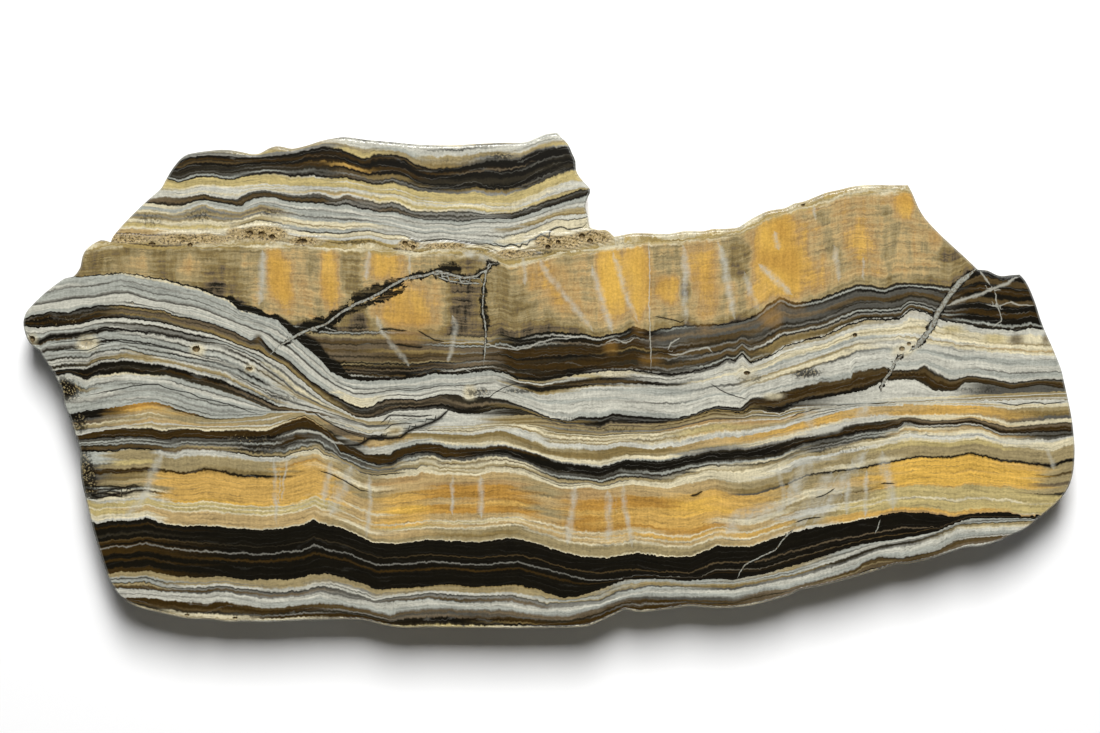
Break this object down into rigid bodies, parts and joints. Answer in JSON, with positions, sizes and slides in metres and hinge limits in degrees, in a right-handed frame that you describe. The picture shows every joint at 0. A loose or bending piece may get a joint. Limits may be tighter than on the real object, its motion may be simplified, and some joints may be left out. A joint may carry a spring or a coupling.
{
  "type": "polished banded calcite slab",
  "caption": "Thick polished slab of zebra calcite with wavy cream, black and amber bands, irregular natural outline and flat sawn back.",
  "frame": {"origin": "centre of the bounding box, at the sawn back that the slab rests on", "axes": "+X along the bands towards the rounded end, +Y across the bands towards the stepped block, +Z out of the polished face"},
  "size_m": [0.3156, 0.1488, 0.018],
  "materials": {
    "slab": "polished face, natural skin on the long edges, sawn back"
  },
  "bodies": {
    "root": {"slab": "slab"}
  },
  "joints": []
}
